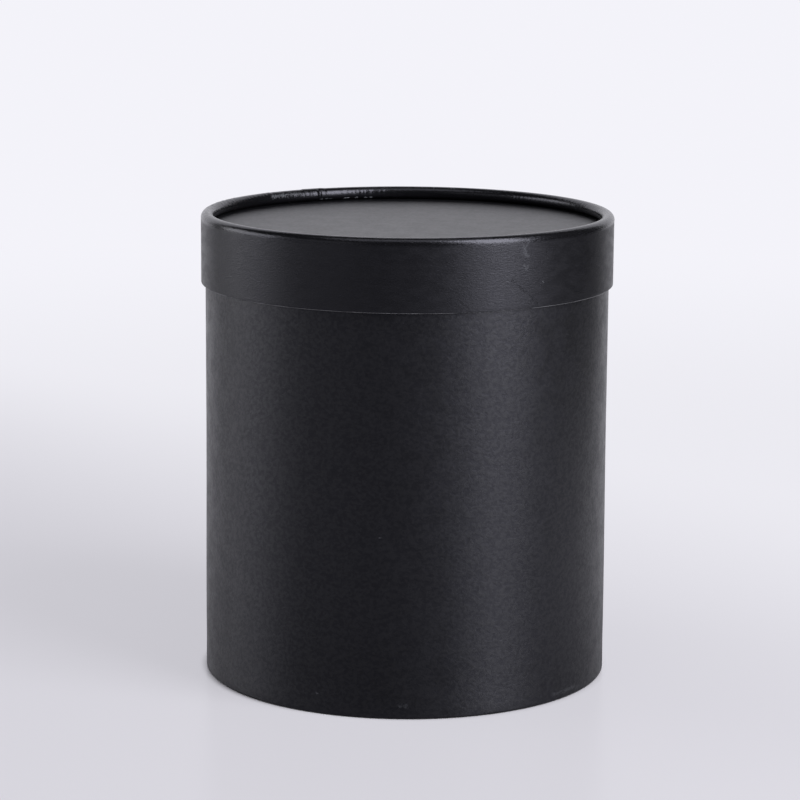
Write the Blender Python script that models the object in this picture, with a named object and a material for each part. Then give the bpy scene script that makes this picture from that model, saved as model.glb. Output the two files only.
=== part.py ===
"""Round flower box: a board tube with a base, and a lift-off lid whose top edge is rolled into a bead.

Both are wound board covered with black paper. The box stands on z = 0 with its axis on the Z axis.
All lengths are in metres.
"""
import math

import bmesh
import bpy

# Paper, board and glue
PAPER = 0.00025                 # covering and lining paper
GLUE_LINE = 0.0003              # between a paper and its board, and round a disc let into a tube
BODY_BOARD = 0.0015             # wound wall of the box
BASE_BOARD = 0.002              # disc in the bottom of the box
LID_RING_BOARD = 0.0009         # wound wall of the lid, thin enough to roll
LID_DISC_BOARD = 0.0015         # disc in the top of the lid

# Box
BODY_DIAMETER = 0.1763          # over the covering paper
BODY_HEIGHT = 0.1951            # floor to rim
BASE_SWELL = 0.00025            # the wall stands out this far over the pressed-in base disc
BASE_SWELL_HEIGHT = 0.016       # and is straight again this far up
BOARD_CORNER = 0.00045          # crushed lower corner of the board tube
TURN_IN = 0.014                 # covering paper turned in under the base
BASE_PAPER_INSET = 0.004        # bare ring between the box's edge and the paper under its base

# Lid
LID_HEIGHT = 0.031              # skirt and bead together
LID_CLEARANCE = 0.00025         # round the box, over its paper's lap
LID_SEAT = 0.0003               # between the lid's lining and the rim that it rests on
LID_BOARD_CORNER = 0.00025      # rounded lower corner of the lid's board, with the paper folded round it
ROLL_HOLLOW = 0.0013            # radius of the hollow inside the rolled edge
ROLL_END_GAP = 0.0005           # the roll stops this far from the skirt's inner face

# Lap seam of the covering papers
LAP_WIDTH = 0.010               # paper glued over its own start
LAP_RISE = 0.00015              # step at the free edge
LAP_EDGE = 0.0002               # width over which that step falls
LAP_RAMP = 0.0025               # width over which the paper climbs onto its start
BODY_SEAM_AZIMUTH = math.radians(90)        # from +X towards +Y, so at the back
LID_SEAM_AZIMUTH = math.radians(123.6)

# Fineness
SEGMENTS = 64                   # facets round every ring and disc
ROLL_STEPS = 12                 # facets round the bead
CORNER_STEPS = 3                # facets round a turned lower edge
SWELL_SHARES = (1.0, 0.75, 0.5)             # rows of the swelling wall, top to bottom
WELD = 1e-6
SMOOTH_ANGLE = math.radians(35)

# Colours, linear
BLACK_PAPER = (0.012, 0.012, 0.014)
LINING_PAPER = (0.016, 0.016, 0.017)
GREY_BOARD = (0.30, 0.26, 0.21)
PAPER_ROUGHNESS = 0.5
LINING_ROUGHNESS = 0.7
BOARD_ROUGHNESS = 0.9

# Box radii, from the outside in
BODY_RADIUS = BODY_DIAMETER / 2
TUBE_OUTER = BODY_RADIUS - PAPER - GLUE_LINE
TUBE_INNER = TUBE_OUTER - BODY_BOARD
LINING_OUTER = TUBE_INNER - GLUE_LINE
LINING_INNER = LINING_OUTER - PAPER

# Box heights, from the floor up
TURN_IN_BOTTOM = PAPER + GLUE_LINE
TURN_IN_TOP = TURN_IN_BOTTOM + PAPER
TUBE_BOTTOM = TURN_IN_TOP + GLUE_LINE
BASE_TOP = TUBE_BOTTOM + BASE_BOARD
FLOOR_BOTTOM = BASE_TOP + GLUE_LINE

# Lid radii, from the box out
RING_INNER = BODY_RADIUS + LAP_RISE + LID_CLEARANCE
RING_OUTER = RING_INNER + LID_RING_BOARD
LID_RADIUS = RING_OUTER + GLUE_LINE + PAPER

# The roll, from its hollow out, and the turn at which it stops short of the skirt
ROLL_BOARD = ROLL_HOLLOW + LID_RING_BOARD
ROLL_PAPER = ROLL_BOARD + GLUE_LINE
BEAD_RADIUS = ROLL_PAPER + PAPER
ROLL_CENTRE_RADIUS = RING_INNER - ROLL_HOLLOW
ROLL_TURN = math.tau - math.acos((ROLL_HOLLOW - ROLL_END_GAP) / BEAD_RADIUS)

# Lid heights, from the face that rests on the rim
LID_DISC_BOTTOM = PAPER + GLUE_LINE
LID_DISC_TOP = LID_DISC_BOTTOM + LID_DISC_BOARD
TOP_PAPER_BOTTOM = LID_DISC_TOP + GLUE_LINE
BEAD_BOTTOM = TOP_PAPER_BOTTOM + PAPER + GLUE_LINE
ROLL_CENTRE_HEIGHT = BEAD_BOTTOM + BEAD_RADIUS
SKIRT_BOTTOM = ROLL_CENTRE_HEIGHT + BEAD_RADIUS - LID_HEIGHT
RING_BOTTOM = SKIRT_BOTTOM + PAPER + GLUE_LINE


def clear_scene():
    """Remove what the scene holds at the start."""
    for obj in list(bpy.data.objects):
        bpy.data.objects.remove(obj, do_unlink=True)


def point(radius, azimuth, height):
    """A point from its radius, its azimuth and its height."""
    return (radius * math.cos(azimuth), radius * math.sin(azimuth), height)


def arc(centre_radius, centre_height, radius, start, end, steps):
    """Outline points (radius, height) round part of a circle, with both ends."""
    turns = [start + (end - start) * k / steps for k in range(steps + 1)]
    return [(centre_radius + radius * math.cos(a), centre_height + radius * math.sin(a)) for a in turns]


def swell(height):
    """How far the box's wall stands out at a height, most at the base and nothing above the swelling."""
    share = min(height / BASE_SWELL_HEIGHT, 1)
    return BASE_SWELL * (1 + math.cos(math.pi * share)) / 2


def wall(radius, top, bottom=None):
    """Outline points down one face of the box's wall, following its swelling."""
    rows = [(radius, top)]
    for share in SWELL_SHARES:
        height = share * BASE_SWELL_HEIGHT
        rows.append((radius + swell(height), height))
    if bottom is not None:
        rows.append((radius + swell(bottom), bottom))
    return rows


def plain_stations():
    """Azimuths of the facet corners round a ring, each with no lap on it."""
    return [(math.tau * k / SEGMENTS, 0.0) for k in range(SEGMENTS)]


def lap_stations(seam_azimuth, radius):
    """Azimuths round a covering paper, each with the height of its lap, in order from the free edge."""
    step = math.tau / SEGMENTS
    seam = round(seam_azimuth / step) * step
    lap_end = math.tau - LAP_WIDTH / radius
    ramp_end = lap_end - LAP_RAMP / radius
    marks = [(0.0, LAP_RISE), (LAP_EDGE / radius, 0.0), (ramp_end, 0.0), (lap_end, LAP_RISE)]
    for k in range(1, SEGMENTS):
        turn = k * step
        if all(abs(turn - mark) * radius > LAP_EDGE for mark, _ in marks):
            climb = (turn - ramp_end) / (lap_end - ramp_end)
            marks.append((turn, LAP_RISE * min(max(climb, 0), 1)))
    return [(seam + turn, rise) for turn, rise in sorted(marks)]


def add_object(name, bm, colour, roughness, parent=None):
    """Make an object of a mesh, give it its own material and shade it smooth but for its edges."""
    bmesh.ops.recalc_face_normals(bm, faces=bm.faces)
    mesh = bpy.data.meshes.new(name)
    bm.to_mesh(mesh)
    bm.free()
    mesh.shade_smooth()
    mesh.set_sharp_from_angle(angle=SMOOTH_ANGLE)
    material = bpy.data.materials.new(name)
    material.use_nodes = True
    shader = material.node_tree.nodes["Principled BSDF"]
    shader.inputs["Base Color"].default_value = (*colour, 1)
    shader.inputs["Roughness"].default_value = roughness
    shader.inputs["Metallic"].default_value = 0
    mesh.materials.append(material)
    obj = bpy.data.objects.new(name, mesh)
    bpy.context.collection.objects.link(obj)
    obj.parent = parent
    return obj


def turned(name, outline, colour, roughness, parent=None):
    """A ring turned from a closed outline of (radius, height) points."""
    bm = bmesh.new()
    corners = [bm.verts.new(point(radius, 0, height)) for radius, height in outline]
    edges = [bm.edges.new((corners[k - 1], corners[k])) for k in range(len(corners))]
    bmesh.ops.spin(bm, geom=corners + edges, cent=(0, 0, 0), axis=(0, 0, 1), angle=math.tau, steps=SEGMENTS)
    bmesh.ops.remove_doubles(bm, verts=bm.verts, dist=WELD)
    return add_object(name, bm, colour, roughness, parent)


def lapped(name, outline_at, seam_azimuth, radius, parent=None):
    """A covering paper that laps over its own start; outline_at(rise) is its outline at a height of lap."""
    bm = bmesh.new()
    loops = []
    for azimuth, rise in lap_stations(seam_azimuth, radius):
        loops.append([bm.verts.new(point(r, azimuth, height)) for r, height in outline_at(rise)])
    for here, ahead in zip(loops, loops[1:] + loops[:1]):
        for k in range(len(here)):
            bm.faces.new((here[k - 1], here[k], ahead[k], ahead[k - 1]))
    return add_object(name, bm, BLACK_PAPER, PAPER_ROUGHNESS, parent)


def disc(name, radius, bottom, thickness, colour, roughness, parent=None):
    """A flat round piece, its corners in line with the facets of the rings."""
    bm = bmesh.new()
    rim = [bm.verts.new(point(radius, azimuth, bottom)) for azimuth, _ in plain_stations()]
    face = bm.faces.new(rim)
    top = bmesh.ops.extrude_face_region(bm, geom=[face], use_keep_orig=True)["geom"]
    raised = [item for item in top if isinstance(item, bmesh.types.BMVert)]
    bmesh.ops.translate(bm, verts=raised, vec=(0, 0, thickness))
    return add_object(name, bm, colour, roughness, parent)


def body_tube():
    """Wound board wall, cut square at the rim and a little crushed at its lower outer corner."""
    centre = TUBE_OUTER + BASE_SWELL - BOARD_CORNER
    height = TUBE_BOTTOM + BOARD_CORNER
    corner = arc(centre, height, BOARD_CORNER, 0, -math.pi / 2, CORNER_STEPS - 1)
    inside = wall(TUBE_INNER, BODY_HEIGHT, TUBE_BOTTOM)
    turned("body_tube", wall(TUBE_OUTER, BODY_HEIGHT) + corner + inside[::-1], GREY_BOARD, BOARD_ROUGHNESS)


def body_wrap_outline(rise):
    """Covering paper of the box: down the wall, round the lower edge and in under the base."""
    centre = TUBE_OUTER + BASE_SWELL - BOARD_CORNER
    height = TUBE_BOTTOM + BOARD_CORNER
    inner = BOARD_CORNER + GLUE_LINE
    outer = inner + PAPER
    outside = wall(BODY_RADIUS + rise, BODY_HEIGHT)
    lower_edge = []
    for k, (radius, z) in enumerate(arc(centre, height, outer, 0, -math.pi / 2, CORNER_STEPS)):
        lower_edge.append((radius + rise * (1 - k / CORNER_STEPS), z))
    turn_in = [(BODY_RADIUS - TURN_IN, TURN_IN_BOTTOM), (BODY_RADIUS - TURN_IN, TURN_IN_TOP)]
    inside_edge = arc(centre, height, inner, -math.pi / 2, 0, CORNER_STEPS)
    inside = wall(BODY_RADIUS - PAPER, BODY_HEIGHT)
    return outside + lower_edge + turn_in + inside_edge + inside[::-1]


def body_lining():
    """Paper lining of the wall, from the floor to the rim."""
    outside = wall(LINING_OUTER, BODY_HEIGHT, FLOOR_BOTTOM)
    inside = wall(LINING_INNER, BODY_HEIGHT, FLOOR_BOTTOM)
    turned("body_lining", outside + inside[::-1], LINING_PAPER, LINING_ROUGHNESS)


def box():
    """The box without its lid."""
    body_tube()
    lapped("body_wrap", body_wrap_outline, BODY_SEAM_AZIMUTH, BODY_RADIUS)
    body_lining()
    base_radius = TUBE_INNER + swell(BASE_TOP) - GLUE_LINE
    disc("base_disc", base_radius, TUBE_BOTTOM, BASE_BOARD, GREY_BOARD, BOARD_ROUGHNESS)
    disc("floor_paper", LINING_INNER - GLUE_LINE, FLOOR_BOTTOM, PAPER, LINING_PAPER, LINING_ROUGHNESS)
    disc("base_paper", BODY_RADIUS - BASE_PAPER_INSET, 0, PAPER, BLACK_PAPER, PAPER_ROUGHNESS)


def roll(radius, steps=ROLL_STEPS):
    """Outline points round the rolled edge at one radius, from the skirt up, over and back under."""
    return arc(ROLL_CENTRE_RADIUS, ROLL_CENTRE_HEIGHT, radius, 0, ROLL_TURN, steps)


def lid_edge(radius, steps=CORNER_STEPS):
    """Outline points round the lid's lower edge at one radius, from its underside out and up to the skirt."""
    centre = RING_OUTER - LID_BOARD_CORNER
    return arc(centre, RING_BOTTOM + LID_BOARD_CORNER, radius, -math.pi / 2, 0, steps)


def lid_ring(parent):
    """Wound board of the lid: a straight skirt whose upper end is rolled inwards into an open scroll."""
    outside = lid_edge(LID_BOARD_CORNER, CORNER_STEPS - 1) + roll(ROLL_BOARD)
    inside = [(RING_INNER, RING_BOTTOM)] + roll(ROLL_HOLLOW, ROLL_STEPS // 2)
    turned("lid_ring", outside + inside[::-1], GREY_BOARD, BOARD_ROUGHNESS, parent)


def lid_wrap_outline(rise):
    """Covering paper of the lid: from the board's inner face round its lower edge, up the skirt and on
    round the roll. Its lap fades out under the edge and under the bead."""
    inner_fold = LID_BOARD_CORNER + GLUE_LINE
    outside = [(RING_INNER, SKIRT_BOTTOM)]
    for k, (radius, height) in enumerate(lid_edge(inner_fold + PAPER)):
        outside.append((radius + rise * k / CORNER_STEPS, height))
    bead = []
    for k, (radius, height) in enumerate(roll(BEAD_RADIUS)):
        turn = ROLL_TURN * k / ROLL_STEPS
        lift = rise * min(max(3 - 2 * turn / math.pi, 0), 1)
        bead.append((radius + lift * math.cos(turn), height + lift * math.sin(turn)))
    inside = [(RING_INNER, SKIRT_BOTTOM + PAPER)] + lid_edge(inner_fold) + roll(ROLL_PAPER)
    return outside + bead + inside[::-1]


def lid():
    """The lid, in its own frame: z = 0 is the face that rests on the box's rim, and it lifts along Z."""
    frame = bpy.data.objects.new("lid_frame", None)
    frame.location = (0, 0, BODY_HEIGHT + LID_SEAT)
    bpy.context.collection.objects.link(frame)
    disc_radius = RING_INNER - GLUE_LINE
    lid_ring(frame)
    lapped("lid_wrap", lid_wrap_outline, LID_SEAM_AZIMUTH, LID_RADIUS, frame)
    disc("lid_disc", disc_radius, LID_DISC_BOTTOM, LID_DISC_BOARD, GREY_BOARD, BOARD_ROUGHNESS, frame)
    disc("lid_top_paper", disc_radius, TOP_PAPER_BOTTOM, PAPER, BLACK_PAPER, PAPER_ROUGHNESS, frame)
    disc("lid_disc_lining", disc_radius, 0, PAPER, LINING_PAPER, LINING_ROUGHNESS, frame)


clear_scene()
box()
lid()
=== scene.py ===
# %% [markdown]
# # A round flower box in black paper
# The box is a straight tube of wound board with a base pressed into it. Its lid is a second, wider tube whose
# upper end is rolled inwards into a bead, over a disc of board. Both are covered with matt black paper. The
# eleven solids are already made to size.

# %% Load the frame
import math

import bmesh
import bpy
from mathutils import Matrix, Vector, noise


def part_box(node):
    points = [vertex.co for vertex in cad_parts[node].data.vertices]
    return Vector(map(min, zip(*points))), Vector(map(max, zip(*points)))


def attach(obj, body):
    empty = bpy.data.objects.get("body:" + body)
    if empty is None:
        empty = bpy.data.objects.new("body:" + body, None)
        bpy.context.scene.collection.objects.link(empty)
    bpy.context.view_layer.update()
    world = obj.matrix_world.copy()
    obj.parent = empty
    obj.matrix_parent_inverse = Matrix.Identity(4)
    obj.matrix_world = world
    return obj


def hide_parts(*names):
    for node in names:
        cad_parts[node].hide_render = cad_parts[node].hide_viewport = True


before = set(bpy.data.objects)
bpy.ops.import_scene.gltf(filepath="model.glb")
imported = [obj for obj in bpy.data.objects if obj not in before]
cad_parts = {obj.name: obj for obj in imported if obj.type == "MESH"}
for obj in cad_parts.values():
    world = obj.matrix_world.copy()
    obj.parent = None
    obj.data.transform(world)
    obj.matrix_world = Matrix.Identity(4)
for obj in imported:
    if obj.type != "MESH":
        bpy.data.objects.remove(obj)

scene = bpy.context.scene
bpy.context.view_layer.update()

# %% [markdown]
# ## Sizes
# A dressed piece has to lie where its solid lies, so its sizes are read from the solids. Only what a box of
# corners can't tell, such as how thick the paper is and how fat the bead, is typed here.

# %% Sizes taken from the frame
MM = 0.001
PAPER = 0.25 * MM
GLUE_LINE = 0.3 * MM
RING_BOARD = 0.9 * MM
BASE_SWELL = 0.25 * MM
SWELL_HEIGHT = 16 * MM
BOX_CORNER = 0.9 * MM
BOX_FOLD_LOW = 0.12 * MM
BEAD_RADIUS = 2.75 * MM
ROLL_TURN = math.radians(287)

wrap_low, wrap_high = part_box("body_wrap")
tube_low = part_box("body_tube")[0]
ring_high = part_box("lid_ring")[1]
cover_low, cover_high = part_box("lid_wrap")
top_low, top_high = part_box("lid_top_paper")
base_low, base_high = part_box("base_paper")
floor_low, floor_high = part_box("floor_paper")
under_low, under_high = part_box("lid_disc_lining")

BOX_RADIUS = wrap_high.x - BASE_SWELL
BOX_BOTTOM = wrap_low.z
RIM = wrap_high.z
LID_RADIUS = cover_high.x
LID_BOTTOM = cover_low.z
LID_TOP = ring_high.z + PAPER + GLUE_LINE
RING_INNER = LID_RADIUS - PAPER - GLUE_LINE - RING_BOARD
BEAD_CENTRE_RADIUS = LID_RADIUS - BEAD_RADIUS
BEAD_CENTRE_HEIGHT = LID_TOP - BEAD_RADIUS
print(f"box radius {BOX_RADIUS / MM:.2f} mm, rim at {RIM / MM:.1f} mm")
print(f"lid radius {LID_RADIUS / MM:.2f} mm, from {LID_BOTTOM / MM:.1f} to {LID_TOP / MM:.1f} mm")

# %% [markdown]
# ## The camera
# A long lens from a little above, about 1.3 m away, so the round lid is seen as a narrow ellipse. The way the
# camera faces is built from three plain rotations: tilt the view down from the horizon, turn it a touch
# sideways, and lean it by less than half a degree.

# %% Camera
CAMERA_PLACE = Vector((0, -1.2706, 0.3674))
CAMERA_DOWN = math.radians(11.04)
CAMERA_TURN = math.radians(0.125)
CAMERA_LEAN = math.radians(0.376)
CAMERA_LENS = 131.9
CAMERA_SENSOR = 36

camera_data = bpy.data.cameras.new("camera")
camera_data.sensor_width = CAMERA_SENSOR
camera_data.lens = CAMERA_LENS
camera = bpy.data.objects.new("camera", camera_data)
scene.collection.objects.link(camera)
tilt = Matrix.Rotation(math.pi / 2 - CAMERA_DOWN, 4, "X")
turn = Matrix.Rotation(CAMERA_TURN, 4, "Z")
lean = Matrix.Rotation(CAMERA_LEAN, 4, "Z")
camera.matrix_world = Matrix.Translation(CAMERA_PLACE) @ turn @ tilt @ lean
scene.camera = camera
scene.view_settings.view_transform = "Standard"
print("camera", round(CAMERA_PLACE.length, 3), "m from the foot of the box")

# %% [markdown]
# ## A helper for shader nodes
# Every finish here is a tree of nodes. One helper adds a node, sets its properties, and fills or links its
# inputs, so that the trees below read as short lists. The others wrap what comes back most: sums, soft steps,
# noise, mixes, and the place of a point.

# %% Node helper
def add_node(tree, kind, inputs=None, **settings):
    """Add a node; an input that is a socket is linked, and any other is set."""
    made = tree.nodes.new(kind)
    for name, value in settings.items():
        setattr(made, name, value)
    for name, value in (inputs or {}).items():
        if isinstance(value, bpy.types.NodeSocket):
            tree.links.new(value, made.inputs[name])
        else:
            made.inputs[name].default_value = value
    return made


def maths(tree, operation, *values, clamp=False):
    """A Math node on up to three values, and its result."""
    made = add_node(tree, "ShaderNodeMath", dict(enumerate(values)), operation=operation, use_clamp=clamp)
    return made.outputs[0]


def ease(tree, value, low, high, to_low=0.0, to_high=1.0):
    """Map a value smoothly from one range to another, and stop at its ends."""
    inputs = {"Value": value, "From Min": low, "From Max": high, "To Min": to_low, "To Max": to_high}
    return add_node(tree, "ShaderNodeMapRange", inputs, interpolation_type="SMOOTHSTEP").outputs["Result"]


def noise_at(tree, place, scale, detail, roughness, distortion=0.0):
    """Noise from 0 to 1 at a place, with so many waves to the metre."""
    inputs = {"Vector": place, "Scale": scale, "Detail": detail, "Roughness": roughness,
              "Distortion": distortion}
    return add_node(tree, "ShaderNodeTexNoise", inputs).outputs["Fac"]


def blend(tree, share, first, second):
    """The mix of two colours, each of them a colour or a socket."""
    inputs = {"Factor": share, "A": first, "B": second}
    return add_node(tree, "ShaderNodeMix", inputs, data_type="RGBA").outputs["Result"]


def mixed_shader(tree, share, first, second):
    """The mix of two shaders, each of them a node."""
    inputs = {0: share, 1: first.outputs[0], 2: second.outputs[0]}
    return add_node(tree, "ShaderNodeMixShader", inputs)


def vectors(tree, operation, *values):
    """A Vector Math node on one or two vectors, and its outputs."""
    return add_node(tree, "ShaderNodeVectorMath", dict(enumerate(values)), operation=operation).outputs


def object_place(tree):
    """The place of a point on its piece, in metres."""
    return add_node(tree, "ShaderNodeTexCoord").outputs["Object"]


def parts_of(tree, place):
    """The X, Y and Z of a place."""
    return add_node(tree, "ShaderNodeSeparateXYZ", {"Vector": place}).outputs


def axis_distance(tree, parts):
    """How far a place lies from the box's axis."""
    flat = add_node(tree, "ShaderNodeCombineXYZ", {"X": parts["X"], "Y": parts["Y"], "Z": 0.0}).outputs[0]
    return vectors(tree, "LENGTH", flat)["Value"]


def new_look(name):
    """A new material, with its tree and its shader."""
    look = bpy.data.materials.new(name)
    look.use_nodes = True
    return look, look.node_tree, look.node_tree.nodes["Principled BSDF"]


def new_group(name, inputs, outputs):
    """A node group with float or vector inputs, given with their defaults, and float outputs."""
    tree = bpy.data.node_groups.new(name, "ShaderNodeTree")
    for label, default in inputs.items():
        kind = "NodeSocketFloat" if isinstance(default, float) else "NodeSocketVector"
        tree.interface.new_socket(label, in_out="INPUT", socket_type=kind).default_value = default
    for label in outputs:
        tree.interface.new_socket(label, in_out="OUTPUT", socket_type="NodeSocketFloat")
    return tree, tree.nodes.new("NodeGroupInput").outputs, tree.nodes.new("NodeGroupOutput").inputs


print("helpers ready")

# %% [markdown]
# ## The studio
# The object stands on a pale, slightly glossy table that runs back into a bright background. The table is a
# sheet that curves up far behind, like the paper sweep of a photographer.

# %% Studio sheet
SHEET_HALF_WIDTH = 3.0
SHEET_FRONT = -1.7
SHEET_BACK = 2.6
SHEET_CURVE = 0.9
SHEET_TOP = 3.3
CURVE_STEPS = 24

curve_start = SHEET_BACK - SHEET_CURVE
profile = [(SHEET_FRONT, 0), (curve_start, 0)]
for step in range(1, CURVE_STEPS + 1):
    angle = math.pi / 2 * step / CURVE_STEPS
    profile.append((curve_start + SHEET_CURVE * math.sin(angle), SHEET_CURVE * (1 - math.cos(angle))))
profile.append((SHEET_BACK, SHEET_TOP))
bm = bmesh.new()
edges = []
for side in (-SHEET_HALF_WIDTH, SHEET_HALF_WIDTH):
    corners = [bm.verts.new((side, back, up)) for back, up in profile]
    edges += [bm.edges.new(pair) for pair in zip(corners, corners[1:])]
bmesh.ops.bridge_loops(bm, edges=edges)
sheet_mesh = bpy.data.meshes.new("studio_sheet")
bm.to_mesh(sheet_mesh)
bm.free()
sheet_mesh.shade_smooth()
sheet = bpy.data.objects.new("studio_sheet", sheet_mesh)
scene.collection.objects.link(sheet)
print("studio sheet of", len(sheet_mesh.polygons), "faces")

# %% [markdown]
# ## The sheet's finish
# The sheet's colour makes the picture pale, not extra light. What the camera and the glossy reflections see
# far behind is a plain near-white glow, mixed in by how far back a point lies, while near the box the sheet
# is an ordinary surface that takes the shadow. The glow grows towards the right: that is painted light of
# the larger lamp there, and painted shade of the box's shadow on the left.

# %% Studio sheet's finish
FLOOR_COLOUR = (0.70, 0.688, 0.745, 1)
FLOOR_ROUGHNESS = 0.22
FLOOR_GLOSS = 0.25
NEAR_GLOW = (0.67, 0.66, 0.715, 1)
FAR_GLOW = (0.90, 0.895, 0.95, 1)
FAR_GLOW_FROM = 0.55
PAINTED_LAMP_LIGHT_TILT = 0.8
NEAR_GLOW_SHARE = 0.72
NEAR_GLOW_END = 0.15
FULL_GLOW_FROM = 1.3
FOOT_INSIDE = 1 * MM
FOOT_OUTSIDE = 4 * MM

sheet_look, tree, shader = new_look("studio_sheet")
shader.inputs["Base Color"].default_value = FLOOR_COLOUR
shader.inputs["Roughness"].default_value = FLOOR_ROUGHNESS
shader.inputs["Specular IOR Level"].default_value = FLOOR_GLOSS
place = parts_of(tree, add_node(tree, "ShaderNodeNewGeometry").outputs["Position"])
back = place["Y"]
from_axis = axis_distance(tree, place)
rays = add_node(tree, "ShaderNodeLightPath").outputs
# Painted light and shade: the glow is tilted brighter towards the right lamp and darker on the left, in the
# box's shadow.
far_and_lamp_lit = ease(tree, maths(tree, "MULTIPLY_ADD", place["X"], PAINTED_LAMP_LIGHT_TILT, back), 0.0, FAR_GLOW_FROM)
glow_colour = blend(tree, far_and_lamp_lit, NEAR_GLOW, FAR_GLOW)
glow = add_node(tree, "ShaderNodeEmission", {"Color": glow_colour, "Strength": 1.0})
seen = maths(tree, "MAXIMUM", rays["Is Camera Ray"], rays["Is Glossy Ray"])
share = maths(tree, "MULTIPLY", seen, ease(tree, back, NEAR_GLOW_END, FULL_GLOW_FROM, NEAR_GLOW_SHARE, 1.0))
share = maths(tree, "MULTIPLY", share,
              ease(tree, from_axis, BOX_RADIUS - FOOT_INSIDE, BOX_RADIUS + FOOT_OUTSIDE))
pale_sheet = mixed_shader(tree, share, shader, glow)
print("sheet glows in full from", FULL_GLOW_FROM, "m behind the box's axis")

# %% [markdown]
# ## What the box mirrors
# A black box shows mostly what it mirrors. A studio is dark beside its table and in front of it, so for
# reflections alone the sheet is bright in a wedge behind the box and nearly black elsewhere. Round the foot
# it is darkened further for reflections alone: painted shade, standing in for the box's shade on the table
# there.
# The camera goes on seeing the pale sheet.

# %% Studio sheet in reflections
DARK_TABLE = (0.03, 0.03, 0.032, 1)
SEEN_CENTRE = -0.09
SEEN_HALF_WIDTH = 0.62
SEEN_START = 0.05
SEEN_SPREAD = 0.92
SEEN_EDGE = 0.08
# Each step darkens the table by a depth, between where it starts and where it is full.
STEPS_FORWARD = ((0.0, -0.15, 0.35), (-0.15, -1.1, 0.5))
# The steps inward, towards the axis, are painted shade: the table round the foot, as the box mirrors it, is
# darkened as if shaded by the box.
PAINTED_FOOT_SHADE_STEPS = ((0.65, 0.12, 0.38), (0.22, 0.10, 0.13))

reflected_dark = 0.0
for distance, steps in ((back, STEPS_FORWARD), (from_axis, PAINTED_FOOT_SHADE_STEPS)):
    for begin, full, depth in steps:
        reflected_dark = maths(tree, "ADD", ease(tree, distance, begin, full, 0.0, depth), reflected_dark, clamp=True)
across = maths(tree, "ABSOLUTE", maths(tree, "SUBTRACT", place["X"], SEEN_CENTRE))
half_width = maths(tree, "MULTIPLY_ADD", back, SEEN_SPREAD, SEEN_START)
half_width = maths(tree, "MAXIMUM", half_width, SEEN_HALF_WIDTH)
beside = ease(tree, maths(tree, "SUBTRACT", across, half_width), -SEEN_EDGE, SEEN_EDGE)
unseen = maths(tree, "MULTIPLY", maths(tree, "MAXIMUM", beside, reflected_dark), rays["Is Glossy Ray"])
dark_finish = {"Base Color": DARK_TABLE, "Roughness": FLOOR_ROUGHNESS, "Specular IOR Level": FLOOR_GLOSS}
dark_sheet = add_node(tree, "ShaderNodeBsdfPrincipled", dark_finish)
mixed = mixed_shader(tree, unseen, pale_sheet, dark_sheet)
tree.links.new(mixed.outputs["Shader"], tree.nodes["Material Output"].inputs["Surface"])
sheet_mesh.materials.append(sheet_look)
print("sheet finished")

# %% [markdown]
# ## The light
# A tall soft box stands at the right and a wide low one at the left, and each lays one soft band of light on
# the walls. A faint card beside the left one lets its band fade out slowly towards the middle. A dim soft box
# overhead draws thin lines along the bead, and the dark room behind the table gives the bead its dark band.
# Together they are set so that a surface lying flat receives light of about pi, at which a colour renders
# about as it is written.

# %% Lamps
LAMP_DISTANCE = 1.3
LAMP_AIM = Vector((0, 0, 0.12))


def soft_box(name, azimuth, elevation, width, height, power):
    """A large rectangular lamp that faces the box; the azimuth runs from +X towards +Y, in degrees."""
    lamp = bpy.data.lights.new(name, "AREA")
    lamp.shape = "RECTANGLE"
    lamp.size = width
    lamp.size_y = height
    lamp.energy = power
    obj = bpy.data.objects.new(name, lamp)
    turned, raised = math.radians(azimuth), math.radians(elevation)
    way = Vector((math.cos(turned) * math.cos(raised), math.sin(turned) * math.cos(raised), math.sin(raised)))
    obj.location = LAMP_AIM + way * LAMP_DISTANCE
    obj.rotation_euler = (-way).to_track_quat("-Z", "Y").to_euler()
    obj.visible_camera = False
    scene.collection.objects.link(obj)
    return obj


soft_box("lamp_right", azimuth=-39, elevation=29, width=0.70, height=1.45, power=24.5)
soft_box("lamp_left", azimuth=173, elevation=12, width=0.95, height=0.68, power=5.6)
soft_box("card_left", azimuth=217, elevation=12, width=1.3, height=0.68, power=1.05)
soft_box("lamp_above", azimuth=-88, elevation=72, width=1.4, height=0.8, power=3.6)
print("three lamps and a card,", LAMP_DISTANCE, "m away")

# %% [markdown]
# ## The room
# Beyond the sheet lies the room. A Light Path node tells who looks: the camera sees it nearly white, and the
# box gets only a faint fill from it, so that the lamps shape the surface.

# %% World
ROOM_COLOUR = (0.98, 0.975, 1, 1)
ROOM_SEEN = 0.92
ROOM_LIGHT = 0.04
ROOM_FILL = 0.12

world = bpy.data.worlds.new("room")
scene.world = world
world.use_nodes = True
tree = world.node_tree
dim = tree.nodes["Background"]
dim.inputs["Color"].default_value = (1, 1, 1, 1)
pale = add_node(tree, "ShaderNodeBackground", {"Color": ROOM_COLOUR, "Strength": ROOM_SEEN})
rays = add_node(tree, "ShaderNodeLightPath").outputs
strength = maths(tree, "MULTIPLY_ADD", rays["Is Diffuse Ray"], ROOM_FILL, ROOM_LIGHT)
tree.links.new(strength, dim.inputs["Strength"])
mixed = mixed_shader(tree, rays["Is Camera Ray"], dim, pale)
tree.links.new(mixed.outputs["Shader"], tree.nodes["World Output"].inputs["Surface"])
print("room light", ROOM_LIGHT, "and a fill of", ROOM_FILL)

# %% [markdown]
# ## Turning a ring
# Walls, linings and wraps are all rings. Each is described by its closed outline of (radius, height) points,
# which may change a little from place to place: that is how a seam, a wrinkle or an uneven wall gets in. The
# outlines are laid side by side round the axis and joined by faces.

# %% Ring helper
SMOOTH_ANGLE = math.radians(40)


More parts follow.
